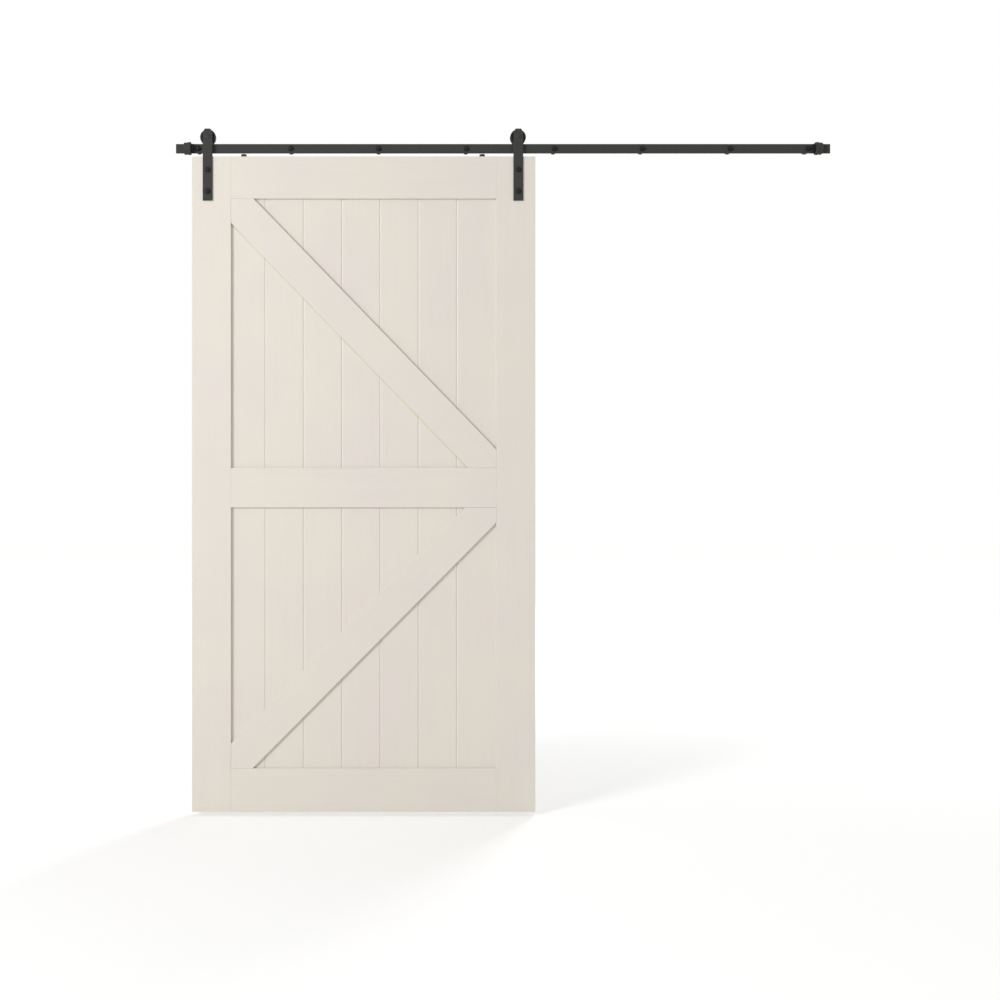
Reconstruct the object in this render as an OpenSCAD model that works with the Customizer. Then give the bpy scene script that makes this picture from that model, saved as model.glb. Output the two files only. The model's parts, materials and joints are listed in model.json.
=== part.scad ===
// Sliding barn door: a framed and braced board door that hangs from a flat wall track on two strap hangers.
// The origin is on the wall plane, at the middle of the track's row of bolts.
// +X runs along the track, +Y points into the wall and +Z points up. Sizes are in millimetres.

/* [Door frame] */
// Width of the door leaf
door_w = 1117.6; // [1000:0.1:1250]
// Height of the door leaf
door_h = 2133.6; // [1900:0.1:2400]
// Thickness of the stiles and rails
frame_t = 35; // [30:0.5:45]
// Width of each stile
stile_w = 127; // [110:0.5:150]
// Height of the top rail
top_rail_h = 137; // [110:0.5:160]
// Height of the middle rail
middle_rail_h = 129; // [110:0.5:150]
// Height of the bottom rail
bottom_rail_h = 142; // [110:0.5:170]
// Height of the middle rail's centre line above the door's bottom edge
middle_rail_centre = 1055.5; // [900:0.5:1200]
// Easing cut along the edges of stiles, rails and braces
edge_ease = 0.6; // [0.4:0.1:2]
// Length of the tongues on the ends of the rails
rail_tongue_l = 9.6; // [6:0.1:9.8]
// Diameter of the dowels in the frame's joints
dowel_d = 10; // [8:0.5:12]
// Length of the dowels
dowel_l = 60; // [45:1:80]
// Distance of the dowels from the edges of their rail
dowel_inset = 36; // [28:1:45]
// Play of a dowel in its hole, all round
dowel_play = 0.1; // [0.05:0.05:0.2]
// Room for glue at each end of a dowel
dowel_end_gap = 0.8; // [0.4:0.1:2]
// Chamfer on the ends of the dowels
dowel_ease = 1; // [0.5:0.1:2]

/* [Boards] */
// Thickness of the boards
board_t = 15; // [13:0.5:17]
// How far the boards lie behind the front of the frame
board_recess = 10; // [6:0.5:12]
// Depth of the grooves that hold the boards' edges
groove_d = 10; // [10:0.1:14]
// Play of a board in its groove, on each face
board_play = 0.2; // [0.1:0.05:0.4]
// Room for a board to swell, at the bottom of its groove
swell_gap = 1; // [0.5:0.1:2]
// How much narrower the first board shows than a full one
first_board_cut = 14.5; // [0:0.5:30]
// How much wider the last board shows than a full one
last_board_extra = 3; // [0:0.5:10]
// Width of each board's half of a V-groove
vee_w = 2.6; // [1:0.1:4]
// Depth of a V-groove
vee_d = 1.4; // [0.6:0.1:4]
// Depth of a board's tongue
tongue_d = 6; // [4:0.5:9]
// Thickness of a board's tongue
tongue_t = 5; // [3:0.5:6]
// Gap between neighbouring boards, and round a tongue
seam_gap = 0.3; // [0.2:0.05:0.6]

/* [Braces] */
// Width of each brace
brace_w = 107.5; // [90:0.5:130]
// How far down the left stile the upper brace's centre line starts from the top rail
upper_brace_drop = 1.5; // [0:0.5:20]
// How far up the left stile the lower brace's centre line starts from the bottom rail
lower_brace_rise = 5; // [0:0.5:20]
// How far short of the right stile the upper brace's centre line meets the middle rail
upper_brace_inset = 16.5; // [0:0.5:40]
// How far short of the right stile the lower brace's centre line meets the middle rail
lower_brace_inset = 26.5; // [0:0.5:40]
// Gap between the ends of a brace and the frame
brace_gap = 0.3; // [0.1:0.1:0.6]

/* [Track] */
// Length of the rail
rail_l = 2133.6; // [2000:0.1:2500]
// Height of the rail
rail_h = 30; // [28:0.5:40]
// Thickness of the rail
rail_t = 6; // [5:0.5:8]
// Easing cut along the rail's edges
rail_ease = 0.8; // [0.3:0.1:1.2]
// Distance of the outer bolts from the rail's ends
end_bolt_inset = 72; // [65:0.5:90]
// Distance between neighbours in the inner row of bolts
inner_bolt_pitch = 286.7; // [240:0.1:290]
// How far the inner row of bolts sits to the right of the rail's middle
inner_bolt_shift = 24; // [0:0.5:40]
// Diameter of the standoffs between rail and wall
standoff_d = 20; // [18:0.5:20]
// Length of the standoffs
standoff_l = 32; // [28:0.5:50]
// Chamfer on the ends of the standoffs
standoff_ease = 0.8; // [0.3:0.1:1.5]

/* [Lag bolts] */
// Diameter over a lag bolt's thread
lag_d = 8; // [7:0.1:9]
// How much thinner a lag bolt's smooth shank is than its thread
lag_shank_cut = 0.6; // [0.4:0.1:1]
// Length of the thread in the wall
lag_thread_l = 30; // [25:1:80]
// Length of the point at the end of the thread
lag_point_l = 12; // [5:0.5:14]
// Width across flats of a lag bolt's head
lag_flats = 13; // [11:0.5:14]
// Height of the hexagon of a lag bolt's head
lag_head_h = 4.6; // [3:0.1:5]
// Diameter of the flange under a lag bolt's head
lag_flange_d = 17.6; // [16:0.1:18]
// Thickness of that flange
lag_flange_t = 1.8; // [1:0.1:2]

/* [End stops] */
// Distance of an end stop from the end of the rail
stop_inset = 26.8; // [10:0.1:40]
// Diameter of a stop's hub
stop_hub_d = 38; // [37:0.5:40]
// Length of a stop's hub
stop_hub_l = 11.5; // [9:0.5:16]
// Diameter of a stop's disc
stop_disc_d = 41; // [41:0.5:46]
// Thickness of a stop's disc
stop_disc_l = 12; // [8:0.5:14]
// Rounding of a stop's rims
stop_rim = 2.5; // [0.5:0.1:4]
// Diameter of the rubber bumper
bumper_d = 30; // [26:0.5:30]
// Thickness of the rubber bumper
bumper_t = 7.5; // [6:0.5:12]
// Rounding of a bumper's rims
bumper_rim = 1; // [0.5:0.1:2]
// Play of the rail in a stop's slot
slot_play = 0.15; // [0.05:0.05:0.3]
// Diameter of a stop's set screw
set_screw_d = 5; // [4:0.5:6]
// Length of a stop's set screw
set_screw_l = 4.5; // [4:0.1:8]
// Width across flats of a set screw's socket
set_socket = 2.5; // [2:0.1:2.6]
// Depth of a set screw's socket
set_socket_d = 2; // [1:0.1:2.5]

/* [Hangers] */
// Width of each strap
strap_w = 31.5; // [28:0.5:40]
// Thickness of each strap
strap_t = 5; // [4:0.5:6]
// How far a strap reaches down over the door
strap_drop = 144; // [135:1:160]
// How far a strap reaches above its axle
strap_rise = 25.5; // [18:0.5:28]
// Width of the cut corners at a strap's top
strap_corner_w = 7; // [3:0.5:9]
// Height of the cut corners at a strap's top
strap_corner_h = 11; // [3:0.5:14]
// Bevel round a strap's front face
strap_ease = 1.2; // [0.4:0.1:2]
// Distance of a strap's centre line from the door's side edge
hanger_inset = 53.5; // [45:0.5:65]
// How far the hangers and the anti-jump discs sit to the left of even insets
hanger_shift = 2; // [0:0.5:5]
// Distance of the upper door bolt below the door's top edge
door_bolt_drop = 44; // [35:0.5:55]
// Distance between the two door bolts of a strap
door_bolt_pitch = 70; // [60:0.5:80]
// Diameter of the door bolts and of the axle bolts
bolt_d = 10; // [8:0.5:12]
// Play of a bolt in the holes that it passes through, all round
bolt_play = 0.25; // [0.1:0.05:0.5]
// Width across flats of the bolts' nuts and of the door bolts' heads
bolt_flats = 16; // [15:0.5:18]
// Height of a door bolt's head
bolt_head_h = 4.5; // [4:0.1:8]
// Diameter of the washers at the door's back
washer_d = 21; // [19:0.5:24]
// Thickness of the washers at the door's back
washer_t = 1.6; // [1:0.1:2]
// Height of the nuts at the door's back
door_nut_h = 5; // [4:0.5:6]
// How far a bolt stands out of its nut
bolt_proud = 1.5; // [0.5:0.1:2]
// Free travel between the left strap and the left bumper at rest
rest_gap = 31.25; // [5:0.25:60]
// Gap between the rail's lower edge and the door's top edge
door_gap = 13; // [11:0.5:16]

/* [Wheels] */
// Radius of a wheel's tread
tread_r = 20.9; // [20:0.1:24]
// How far a wheel's flanges reach below the rail's top edge
flange_depth = 4.4; // [3.5:0.1:4.7]
// Width of a wheel
wheel_w = 18; // [18:0.5:24]
// Side play of the rail at the tread
tread_side_play = 0.5; // [0.3:0.1:0.8]
// How much each side of the groove opens towards the flange's rim
groove_flare = 1.5; // [0.5:0.1:2]
// Running gap between tread and rail
tread_gap = 0.3; // [0.1:0.05:0.4]
// Easing cut on the rims of a wheel
wheel_ease = 1.2; // [0.5:0.1:2]
// Thickness of a wheel's web, round its bearing
web_t = 12; // [11:0.5:14]
// Wall between a wheel's tread and the recess in its side
rim_wall = 1.8; // [1.2:0.1:2.4]
// Depth of the lip behind which the bearing sits
bearing_lip = 1.5; // [1:0.1:2]
// Outer diameter of the bearing
bearing_d = 30; // [28:0.5:32]
// Width of the bearing
bearing_w = 9; // [8:0.5:10]
// Diameter of the bearing's balls
ball_d = 5.5; // [4.5:0.1:6]
// Depth of the races in the bearing's rings
race_depth = 0.8; // [0.5:0.1:1.2]
// Play of a ball in its races
ball_play = 0.1; // [0.05:0.05:0.15]
// Play of the bearing in its seats
bearing_play = 0.05; // [0.02:0.01:0.08]
// Thickness of the bearing's shields
shield_t = 0.4; // [0.3:0.1:0.6]
// How far the shields lie inside the bearing's faces
shield_inset = 0.4; // [0.2:0.1:0.6]
// Gap between the shields and the bearing's inner ring
shield_gap = 0.3; // [0.2:0.1:0.6]
// Gap between a wheel's front and its strap
wheel_strap_gap = 3; // [1.5:0.1:4]
// Outer diameter of the axle spacers
spacer_d = 15; // [14:0.5:16]
// Diameter of an axle bolt's domed head
axle_head_d = 18; // [16:0.5:20]
// Height of an axle bolt's domed head
axle_head_h = 3.2; // [2.5:0.1:6]
// Height of an axle nut
axle_nut_h = 7; // [5:0.5:8]
// Height of the collar between an axle nut and its bearing
nut_collar_h = 1; // [0.5:0.1:1.5]

/* [Anti-jump discs] */
// Diameter of an anti-jump disc
jump_disc_d = 18; // [18:0.5:24]
// Gap between an anti-jump disc and the rail
jump_gap = 4; // [1.5:0.1:4.5]
// Distance of an anti-jump disc from the door's side edge
jump_inset = 170; // [165:1:220]
// Easing cut on the rim of a disc
jump_ease = 1; // [0.4:0.1:2]
// Diameter of a disc's screw
jump_screw_d = 5; // [4:0.1:6]
// Length of that screw in the door
jump_screw_l = 28; // [20:1:40]
// Diameter of that screw's head
jump_head_d = 9.4; // [8:0.1:11]
// Height of that screw's head
jump_head_h = 3; // [2:0.1:4]
// Play of that screw in the disc and in its pilot hole
jump_play = 0.1; // [0.05:0.05:0.2]

/* [Hidden] */
$fn = 64;
paint = "#e4ddd2";
charcoal = "#474746";
black_steel = "#2c2c2d";
bright_steel = "#b9bcc0";
black_nylon = "#1f1f20";
black_rubber = "#161616";
bare_beech = "#c9a878";

board_count = 7;
inner_bolts = 6;
ball_count = 8;
stop_sides = [-1, 1];
// Overrun of a cutting shape past the face that it cuts
cut = 1;
// Share of a hexagon's flats that stays flat on a crowned head
crown_share = 0.95;

// Depth, from the wall forwards
y_rail_back = -standoff_l;
y_rail_front = y_rail_back - rail_t;
y_rail = (y_rail_back + y_rail_front) / 2;
y_front = y_rail - wheel_w / 2 - wheel_strap_gap;
y_strap = y_front - strap_t;
y_back = y_front + frame_t;
y_frame = (y_front + y_back) / 2;
y_board = y_front + board_recess + board_t / 2;
y_ring_front = y_rail - bearing_w / 2;
y_ring_back = y_rail + bearing_w / 2;

// Heights
z_axle = rail_h / 2 + tread_gap + tread_r;
z_top = -rail_h / 2 - door_gap;
z_bottom = z_top - door_h;
z_upper_high = z_top - top_rail_h;
z_middle = z_bottom + middle_rail_centre - middle_rail_h / 2;
z_upper_low = z_middle + middle_rail_h;
z_lower_high = z_middle;
z_lower_low = z_bottom + bottom_rail_h;
// Lower edge and height of each rail of the door
door_rails = [[z_upper_high, top_rail_h], [z_middle, middle_rail_h], [z_bottom, bottom_rail_h]];
dowel_heights = [for (r = door_rails) each [r[0] + dowel_inset, r[0] + r[1] - dowel_inset]];
door_bolt_heights = [z_top - door_bolt_drop, z_top - door_bolt_drop - door_bolt_pitch];

// Places along the track
x_stop = rail_l / 2 - stop_inset;
x_bumper = x_stop - stop_hub_l - stop_disc_l - bumper_t;
x_left = -x_bumper + rest_gap + strap_w / 2 - hanger_inset + hanger_shift;
x_right = x_left + door_w;
x_door = (x_left + x_right) / 2;
hanger_places = [for (x = [x_left + hanger_inset, x_right - hanger_inset]) x - hanger_shift];
jump_places = [for (x = [x_left + jump_inset, x_right - jump_inset]) x - hanger_shift];
x_open_left = x_left + stile_w;
x_open_right = x_right - stile_w;
open_w = x_open_right - x_open_left;
x_end_bolt = rail_l / 2 - end_bolt_inset;
inner_places = [for (k = [0 : inner_bolts - 1]) inner_bolt_shift + (k - (inner_bolts - 1) / 2) * inner_bolt_pitch];
lag_places = concat([-x_end_bolt], inner_places, [x_end_bolt]);

// Boards and wheels
board_pitch = (open_w + first_board_cut - last_board_extra) / board_count;
flange_r = tread_r + tread_gap + flange_depth;
tread_half = rail_t / 2 + tread_side_play;
bearing_r = bearing_d / 2;
ball_r = ball_d / 2;
bolt_r = bolt_d / 2;
ball_circle_r = (bolt_r + bearing_r) / 2;
race_r = ball_r + ball_play;
// Half of the radial gap between the rings, which the balls bridge
ring_half_gap = race_r - race_depth;
inner_ring_r = ball_circle_r - ring_half_gap;
outer_ring_r = ball_circle_r + ring_half_gap;
jump_disc_t = door_gap - jump_gap;

// General shapes

// Section of a bar, centred, with its four edges eased
module eased_section(w, t, ease)
    polygon([
        [-w / 2 + ease, -t / 2], [w / 2 - ease, -t / 2], [w / 2, -t / 2 + ease], [w / 2, t / 2 - ease],
        [w / 2 - ease, t / 2], [-w / 2 + ease, t / 2], [-w / 2, t / 2 - ease], [-w / 2, -t / 2 + ease]
    ]);

// Carries a section drawn in depth and height along +X
module along_track(length)
    rotate([90, 0, 90])
        linear_extrude(length)
            children();

// Turns a shape drawn along +Z to point at the wall
module towards_wall(x, y, z)
    translate([x, y, z])
        rotate([-90, 0, 0])
            children();

// Half section of a disc that stands on z = 0, with rounded rims
module rounded_half(r, length, rim) {
    square([r - rim, length]);
    translate([0, rim])
        square([r, length - 2 * rim]);
    for (z = [rim, length - rim])
        translate([r - rim, z])
            circle(r = rim);
}

// Straight tube, standing on z = 0
module tube(outer_r, inner_r, length)
    rotate_extrude()
        translate([inner_r, 0])
            square([outer_r - inner_r, length]);

// Crowned hexagon, from z = -height to z = 0, with a corner pointing along Y
module hex_head(flats, height) {
    corner_r = flats / 2 / cos(30);
    crown_r = crown_share * flats / 2;
    crown_h = (corner_r - crown_r) * tan(30);
    translate([0, 0, -height])
        intersection() {
            rotate(30)
                cylinder(r = corner_r, h = height, $fn = 6);
            rotate_extrude()
                polygon([[0, 0], [crown_r, 0], [corner_r, crown_h], [corner_r, height], [0, height]]);
        }
}

// Hexagon nut standing on z = 0, crowned on its outer face
module hex_nut(flats, height, bore_r)
    difference() {
        mirror([0, 0, 1])
            hex_head(flats, height);
        translate([0, 0, -cut])
            cylinder(r = bore_r, h = height + 2 * cut);
    }

// Door frame

// Upright of the frame: side is -1 for the left one and 1 for the right one
module stile(side) {
    x_mid = x_door + side * (door_w - stile_w) / 2;
    x_edge = x_door + side * open_w / 2;
    x_hanger = side < 0 ? hanger_places[0] : hanger_places[1];
    color(paint)
        difference() {
            translate([x_mid, y_frame, z_bottom])
                linear_extrude(door_h)
                    eased_section(stile_w, frame_t, edge_ease);
            translate([x_edge + side * (groove_d - cut) / 2, y_board, z_bottom + door_h / 2])
                cube([groove_d + cut, board_t + 2 * board_play, door_h + 2 * cut], center = true);
            for (z = dowel_heights)
                dowel_hole(x_edge, z);
            for (z = door_bolt_heights)
                towards_wall(x_hanger, y_front - cut, z)
                    cylinder(r = bolt_r + bolt_play, h = frame_t + 2 * cut);
        }
}

// Hole for a dowel that crosses the joint at x_edge
module dowel_hole(x_edge, z)
    translate([x_edge, y_board, z])
        rotate([0, 90, 0])
            cylinder(d = dowel_d + 2 * dowel_play, h = dowel_l + 2 * dowel_end_gap, center = true);

// Crossbar of the frame, with a tongue at each end and grooves for the boards' ends
module door_rail(z_low, height, groove_below, groove_above) {
    groove_t = board_t + 2 * board_play;
    groove_l = open_w + 2 * (rail_tongue_l + cut);
    color(paint)
        difference() {
            union() {
                translate([x_open_left, y_frame, z_low + height / 2])
                    along_track(open_w)
                        eased_section(frame_t, height, edge_ease);
                translate([x_open_left - rail_tongue_l, y_board - board_t / 2, z_low])
                    cube([open_w + 2 * rail_tongue_l, board_t, height]);
            }
            if (groove_below)
                translate([x_door - groove_l / 2, y_board - groove_t / 2, z_low - cut])
                    cube([groove_l, groove_t, groove_d + cut]);
            if (groove_above)
                translate([x_door - groove_l / 2, y_board - groove_t / 2, z_low + height - groove_d])
                    cube([groove_l, groove_t, groove_d + cut]);
            for (x_edge = [x_open_left, x_open_right], z = [z_low + dowel_inset, z_low + height - dowel_inset])
                dowel_hole(x_edge, z);
            children();
        }
}

module top_rail()
    door_rail(z_upper_high, top_rail_h, true, false)
        for (x = jump_places)
            translate([x, y_rail, z_top - jump_screw_l])
                cylinder(d = jump_screw_d + 2 * jump_play, h = jump_screw_l + cut);

module middle_rail()
    door_rail(z_middle, middle_rail_h, true, true);

module bottom_rail()
    door_rail(z_bottom, bottom_rail_h, false, true);

module frame_dowels()
    color(bare_beech)
        for (x_edge = [x_open_left, x_open_right], z = dowel_heights)
            translate([x_edge - dowel_l / 2, y_board, z])
                rotate([0, 90, 0])
                    rotate_extrude()
                        polygon([
                            [0, 0], [dowel_d / 2 - dowel_ease, 0], [dowel_d / 2, dowel_ease],
                            [dowel_d / 2, dowel_l - dowel_ease], [dowel_d / 2 - dowel_ease, dowel_l], [0, dowel_l]
                        ]);

// Braces

// Section of a brace in depth and height, with its front edges eased
module brace_section() {
    half_t = board_recess / 2;
    half_w = brace_w / 2;
    polygon([
        [half_t, -half_w], [half_t, half_w], [-half_t + edge_ease, half_w], [-half_t, half_w - edge_ease],
        [-half_t, -half_w + edge_ease], [-half_t + edge_ease, -half_w]
    ]);
}

// Diagonal board from the left stile, start_offset past z_corner, to the middle rail at z_end,
// cut to the opening between them
module brace(z_corner, z_end, start_offset, end_inset) {
    away = sign(z_end - z_corner);
    start = [x_open_left, z_corner + away * start_offset];
    run = [x_open_right - end_inset, z_end] - start;
    reach = norm(run);
    z_low = min(z_corner, z_end);
    open_h = abs(z_end - z_corner);
    color(paint)
        intersection() {
            translate([x_open_left + brace_gap, y_front, z_low + brace_gap])
                cube([open_w - 2 * brace_gap, board_recess, open_h - 2 * brace_gap]);
            translate([start[0], y_front + board_recess / 2, start[1]])
                rotate([0, -atan2(run[1], run[0]), 0])
                    translate([-brace_w, 0, 0])
                        along_track(reach + 2 * brace_w)
                            brace_section();
        }
}

module upper_brace()
    brace(z_upper_high, z_upper_low, upper_brace_drop, upper_brace_inset);

module lower_brace()
    brace(z_lower_low, z_lower_high, lower_brace_rise, lower_brace_inset);

// Boards

// Place of the seam to the right of board k, where seam 0 is the first board's left edge
function seam_x(k) =
    k == 0 ? x_open_left - groove_d + swell_gap
    : k == board_count ? x_open_right + groove_d - swell_gap
    : x_open_left + k * board_pitch - first_board_cut;

// Section of board i seen from above: V-cut at its seams, a tongue to the right and a groove to the left
module board_section(i) {
    first = i == 1;
    last = i == board_count;
    left = seam_x(i - 1) + (first ? 0 : seam_gap / 2);
    right = seam_x(i) - (last ? 0 : seam_gap / 2);
    front = y_board - board_t / 2;
    back = y_board + board_t / 2;
    left_edge = first
        ? [[left, back], [left, front]]
        : [[left + vee_w, back], [left, back - vee_d], [left, front + vee_d], [left + vee_w, front]];
    right_edge = last
        ? [[right, front], [right, back]]
        : [[right - vee_w, front], [right, front + vee_d], [right, back - vee_d], [right - vee_w, back]];
    difference() {
        union() {
            polygon(concat(left_edge, right_edge));
            if (!last)
                translate([right - cut, y_board - tongue_t / 2])
                    square([tongue_d + cut, tongue_t]);
        }
        if (!first)
            translate([left - cut, y_board - tongue_t / 2 - seam_gap])
                square([tongue_d + cut, tongue_t + 2 * seam_gap]);
    }
}

// Board i, with its ends in the grooves of the rails below and above
module board(i, z_low, z_high) {
    hold = groove_d - swell_gap;
    color(paint)
        translate([0, 0, z_low - hold])
            linear_extrude(z_high - z_low + 2 * hold)
                board_section(i);
}

// Track

module track_rail()
    color(charcoal)
        difference() {
            translate([-rail_l / 2, y_rail, 0])
                along_track(rail_l)
                    eased_section(rail_t, rail_h, rail_ease);
            for (x = lag_places)
                towards_wall(x, y_rail_front - cut, 0)
                    cylinder(r = lag_d / 2 + bolt_play, h = rail_t + 2 * cut);
        }

module standoff(i) {
    outer = standoff_d / 2;
    inner = lag_d / 2 + bolt_play;
    color(charcoal)
        towards_wall(lag_places[i - 1], y_rail_back, 0)
            rotate_extrude()
                polygon([
                    [inner, 0], [outer - standoff_ease, 0], [outer, standoff_ease],
                    [outer, standoff_l - standoff_ease], [outer - standoff_ease, standoff_l], [inner, standoff_l]
                ]);
}

// Lag bolt with its flange's seat at z = 0: hexagon and flange in front, shank and pointed thread behind
module lag_bolt() {
    shank_r = (lag_d - lag_shank_cut) / 2;
    shank_l = rail_t + standoff_l;
    end = shank_l + lag_thread_l;
    core = -lag_flange_t - lag_head_h / 2;
    translate([0, 0, -lag_flange_t])
        hex_head(lag_flats, lag_head_h);
    rotate_extrude()
        polygon([
            [0, core], [shank_r, core], [shank_r, -lag_flange_t], [lag_flats / 2, -lag_flange_t],
            [lag_flange_d / 2, -lag_flange_t / 2], [lag_flange_d / 2, 0], [shank_r, 0], [shank_r, shank_l],
            [lag_d / 2, shank_l], [lag_d / 2, end - lag_point_l], [0, end]
        ]);
}

module lag_bolts()
    color(black_steel)
        for (x = lag_places)
            towards_wall(x, y_rail_front, 0)
                lag_bolt();

// End stops

// Puts a shape drawn for the left end of the track at the left or the right end
module at_end(side)
    mirror([side > 0 ? 1 : 0, 0, 0])
        children();

// Space that the rail takes in a stop's slot
module rail_space()
    translate([-rail_l / 2, y_rail_front - slot_play, -rail_h / 2 - slot_play])
        cube([rail_l, rail_t + 2 * slot_play, rail_h + 2 * slot_play]);

module set_screw_place()
    translate([-x_stop + stop_hub_l / 2, y_rail, -rail_h / 2 - set_screw_l])
        children();

// Round collar with its axis on the rail's front face: hub at the outside, larger disc at the inside
module stop_collar(side) {
    hub_to_disc = stop_hub_l + stop_disc_l / 2;
    color(charcoal)
        at_end(side)
            difference() {
                translate([-x_stop, y_rail_front, 0])
                    rotate([0, 90, 0])
                        rotate_extrude() {
                            rounded_half(stop_hub_d / 2, hub_to_disc, stop_rim);
                            translate([0, stop_hub_l])
                                rounded_half(stop_disc_d / 2, stop_disc_l, stop_rim);
                        }
                rail_space();
                set_screw_place()
                    cylinder(d = set_screw_d + 2 * slot_play, h = set_screw_l + cut);
            }
}

// Rubber pad on the stop's inner face, in front of the rail
module stop_bumper(side)
    color(black_rubber)
        at_end(side)
            difference() {
                translate([-x_bumper - bumper_t, y_rail_front, 0])
                    rotate([0, 90, 0])
                        rotate_extrude()
                            rounded_half(bumper_d / 2, bumper_t, bumper_rim);
                translate([-x_bumper - bumper_t - cut, y_rail_front - slot_play, -bumper_d])
                    cube([bumper_t + 2 * cut, bumper_d, 2 * bumper_d]);
            }

module stop_set_screws()
    color(black_steel)
        for (side = stop_sides)
            at_end(side)
                set_screw_place()
                    difference() {
                        cylinder(d = set_screw_d, h = set_screw_l);
                        translate([0, 0, -cut])
                            cylinder(d = set_socket / cos(30), h = set_socket_d + cut, $fn = 6);
                    }

// Hangers

// Front outline of a strap, seen from the front, drawn smaller by inset
module strap_outline(inset) {
    half = strap_w / 2 - inset;
    top = z_axle + strap_rise - inset;
    bottom = z_top - strap_drop + inset;
    polygon([
        [-half, bottom], [half, bottom], [half, top - strap_corner_h], [half - strap_corner_w, top],
        [-half + strap_corner_w, top], [-half, top - strap_corner_h]
    ]);
}

module hanger_strap(x)
    color(charcoal)
        difference() {
            translate([x, y_front, 0])
                rotate([90, 0, 0])
                    hull() {
                        linear_extrude(strap_t - strap_ease)
                            strap_outline(0);
                        linear_extrude(strap_t)
                            strap_outline(strap_ease);
                    }
            for (z = concat(door_bolt_heights, [z_axle]))
                towards_wall(x, y_strap - cut, z)
                    cylinder(r = bolt_r + bolt_play, h = strap_t + 2 * cut);
        }

// Repeats a shape at every door bolt, seated at depth y
module at_door_bolts(y)
    for (x = hanger_places, z = door_bolt_heights)
        towards_wall(x, y, z)
            children();

module hanger_bolts() {
    shank_l = strap_t + frame_t + washer_t + door_nut_h + bolt_proud;
    color(black_steel)
        at_door_bolts(y_strap) {
            hex_head(bolt_flats, bolt_head_h);
            translate([0, 0, -bolt_head_h / 2])
                cylinder(r = bolt_r, h = bolt_head_h / 2 + shank_l);
        }
}

module hanger_washers()
    color(black_steel)
        at_door_bolts(y_back)
            tube(washer_d / 2, bolt_r + bolt_play, washer_t);

module hanger_nuts()
    color(black_steel)
        at_door_bolts(y_back + washer_t)
            hex_nut(bolt_flats, door_nut_h, bolt_r + bearing_play);

// Wheels: each is drawn round its axle, with z = 0 in the middle of the rail

module at_axle(x)
    towards_wall(x, y_rail, z_axle)
        children();

// Flanged wheel with a groove for the rail, recessed sides and a seat for the bearing
module wheel(x) {
    seat_r = bearing_r + bearing_play;
    half_w = wheel_w / 2;
    half_web = web_t / 2;
    recess_r = tread_r - rim_wall;
    color(black_nylon)
        at_axle(x)
            rotate_extrude()
                polygon([
                    [seat_r, -half_web], [recess_r, -half_web], [recess_r, -half_w],
                    [flange_r - wheel_ease, -half_w], [flange_r, -half_w + wheel_ease],
                    [flange_r, -tread_half - groove_flare], [tread_r, -tread_half], [tread_r, tread_half],
                    [flange_r, tread_half + groove_flare], [flange_r, half_w - wheel_ease],
                    [flange_r - wheel_ease, half_w], [recess_r, half_w], [recess_r, half_web],
                    [seat_r - bearing_lip, half_web], [seat_r - bearing_lip, bearing_w / 2 + bearing_play],
                    [seat_r, bearing_w / 2 + bearing_play]
                ]);
}

// Ring of the bearing between two radii, with the race cut into it
module bearing_ring(x, inner, outer)
    color(bright_steel)
        at_axle(x)
            rotate_extrude()
                difference() {
                    translate([inner, -bearing_w / 2])
                        square([outer - inner, bearing_w]);
                    translate([ball_circle_r, 0])
                        circle(r = race_r);
                }

module bearing_balls(x)
    color(bright_steel)
        at_axle(x)
            for (k = [0 : ball_count - 1])
                rotate(k * 360 / ball_count)
                    translate([ball_circle_r, 0, 0])
                        sphere(r = ball_r);

// Thin rings that close the bearing on both sides, held in the outer ring
module bearing_shields(x)
    color(bright_steel)
        at_axle(x)
            for (side = [0, 1])
                mirror([0, 0, side])
                    translate([0, 0, bearing_w / 2 - shield_inset - shield_t])
                        tube(outer_ring_r - bearing_play, inner_ring_r + shield_gap, shield_t);

module axle_bolts() {
    dome_r = (pow(axle_head_d / 2, 2) + pow(axle_head_h, 2)) / (2 * axle_head_h);
    shank_l = y_ring_back - y_strap + nut_collar_h + axle_nut_h + bolt_proud;
    color(charcoal)
        for (x = hanger_places)
            towards_wall(x, y_strap, z_axle) {
                intersection() {
                    translate([0, 0, dome_r - axle_head_h])
                        sphere(r = dome_r);
                    translate([0, 0, -axle_head_h])
                        cylinder(d = axle_head_d, h = axle_head_h);
                }
                translate([0, 0, -axle_head_h / 2])
                    cylinder(r = bolt_r, h = axle_head_h / 2 + shank_l);
            }
}

module axle_spacers()
    color(black_steel)
        for (x = hanger_places)
            towards_wall(x, y_front, z_axle)
                tube(spacer_d / 2, bolt_r + bolt_play, y_ring_front - y_front);

module axle_nuts()
    color(black_steel)
        for (x = hanger_places)
            towards_wall(x, y_ring_back, z_axle) {
                tube(spacer_d / 2, bolt_r + bearing_play, nut_collar_h + axle_nut_h / 2);
                translate([0, 0, nut_collar_h])
                    hex_nut(bolt_flats, axle_nut_h, bolt_r + bearing_play);
            }

// Anti-jump discs

// Disc on the door's top edge, with a counterbored hole for its screw
module anti_jump_disc(x) {
    rim_r = jump_disc_d / 2;
    bore_r = jump_screw_d / 2 + jump_play;
    head_r = jump_head_d / 2 + jump_play;
    seat_h = jump_disc_t - jump_head_h;
    color(charcoal)
        translate([x, y_rail, z_top])
            rotate_extrude()
                polygon([
                    [bore_r, 0], [rim_r, 0], [rim_r, jump_disc_t - jump_ease], [rim_r - jump_ease, jump_disc_t],
                    [head_r, jump_disc_t], [head_r, seat_h], [bore_r, seat_h]
                ]);
}

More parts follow.
